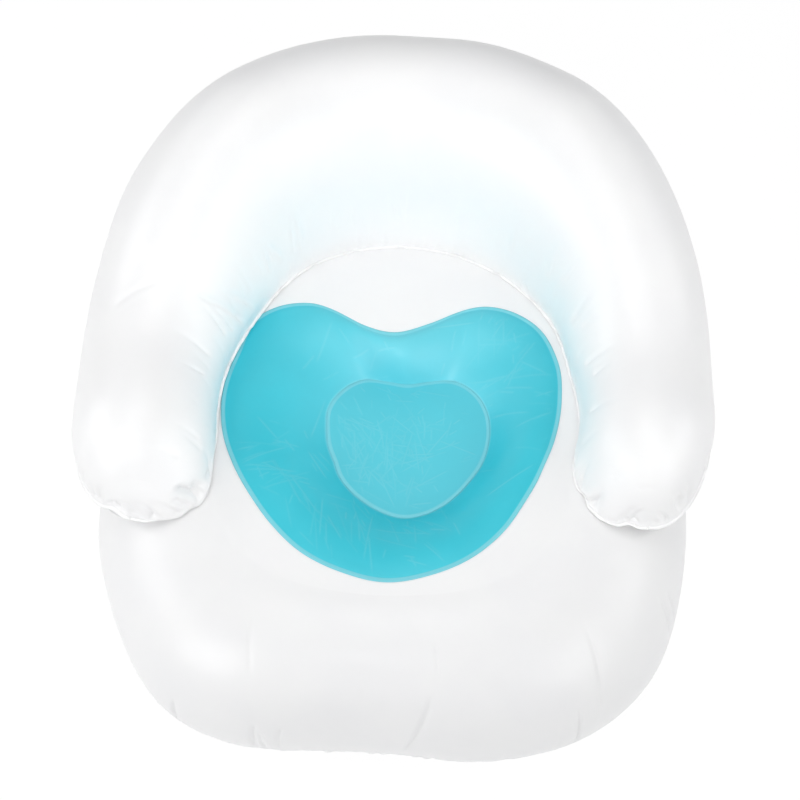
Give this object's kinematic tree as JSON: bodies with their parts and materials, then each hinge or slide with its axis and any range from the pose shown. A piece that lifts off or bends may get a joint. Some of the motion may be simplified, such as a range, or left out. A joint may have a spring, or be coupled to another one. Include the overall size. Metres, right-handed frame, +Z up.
{
  "type": "inflatable sofa",
  "caption": "Child-size inflatable sofa: a pillow base with a heart-shaped well in its seat, a horseshoe of back and arms, and rear inflation valves.",
  "frame": {"origin": "on the floor, under the middle of the bounding box", "axes": "+Z up; +Y towards the back, so the sofa faces -Y; +X to the right of someone who looks at its front"},
  "size_m": [0.6488, 0.73, 0.417],
  "materials": {
    "white_film": "white PVC film, satin gloss",
    "aqua_film": "aqua PVC film, satin gloss, finely creased",
    "valve_vinyl": "milky soft vinyl"
  },
  "bodies": {
    "sofa": {"base_top_film": "white_film", "base_bottom_film": "white_film", "seat_heart_film": "aqua_film", "seat_centre_film": "aqua_film", "seat_inner_wall": "white_film", "back_arm_front_film": "white_film", "back_arm_rear_film": "white_film", "base_valve_flange": "valve_vinyl", "back_valve_flange": "valve_vinyl"},
    "base_valve_stem": {"base_valve_stem": "valve_vinyl"},
    "base_valve_plug": {"base_valve_plug": "valve_vinyl"},
    "base_valve_flap": {"base_valve_flap": "valve_vinyl"},
    "back_valve_stem": {"back_valve_stem": "valve_vinyl"},
    "back_valve_plug": {"back_valve_plug": "valve_vinyl"},
    "back_valve_flap": {"back_valve_flap": "valve_vinyl"}
  },
  "joints": [
    {"name": "base_stem_slide", "type": "slide", "parent": "sofa", "child": "base_valve_stem", "axis": [0, 1, 0], "range_m": [0, 0.013]},
    {"name": "base_plug_slide", "type": "slide", "parent": "base_valve_stem", "child": "base_valve_plug", "axis": [0, 1, 0], "range_m": [0, 0.012]},
    {"name": "base_flap_swing", "type": "hinge", "parent": "base_valve_stem", "child": "base_valve_flap", "pos_m": [0, 0.31274, 0.1168], "axis": [-1, 0, 0], "range_deg": [0, 70]},
    {"name": "back_stem_slide", "type": "slide", "parent": "sofa", "child": "back_valve_stem", "axis": [0, 1, 0], "range_m": [0, 0.013]},
    {"name": "back_plug_slide", "type": "slide", "parent": "back_valve_stem", "child": "back_valve_plug", "axis": [0, 1, 0], "range_m": [0, 0.012]},
    {"name": "back_flap_swing", "type": "hinge", "parent": "back_valve_stem", "child": "back_valve_flap", "pos_m": [0, 0.3413, 0.26517], "axis": [-1, 0, 0], "range_deg": [0, 70]}
  ]
}
